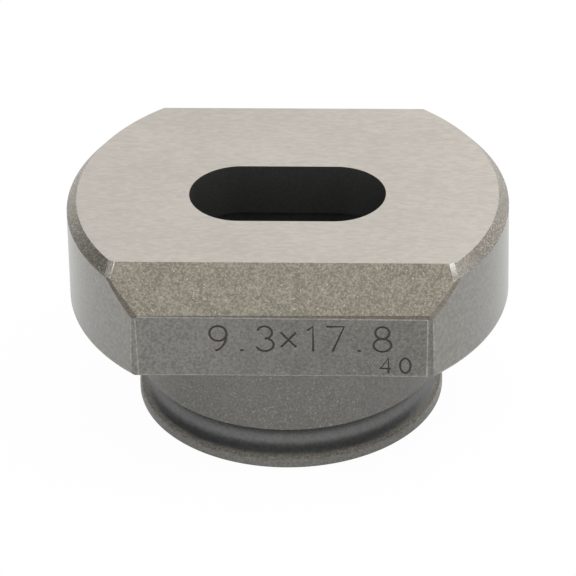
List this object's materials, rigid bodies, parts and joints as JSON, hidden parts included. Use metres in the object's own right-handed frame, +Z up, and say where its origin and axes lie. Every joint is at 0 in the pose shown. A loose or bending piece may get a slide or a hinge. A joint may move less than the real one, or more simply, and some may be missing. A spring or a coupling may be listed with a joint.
{
  "type": "punch die",
  "caption": "Steel punching die with an oblong hole, a round head with side flats and a steep front slope, and a grooved locating spigot.",
  "frame": {"origin": "centre of the foot's underside, on the axis of the spigot", "axes": "+Z up along the die axis to the ground top face, X along the oblong hole, -Y towards the flat with the slope above it"},
  "size_m": [0.04, 0.03, 0.0205],
  "materials": {
    "tool_steel": "hardened tool steel: ground top face, blasted slope and rim, satin turned sides"
  },
  "bodies": {
    "root": {"punch_die": "tool_steel"}
  },
  "joints": []
}
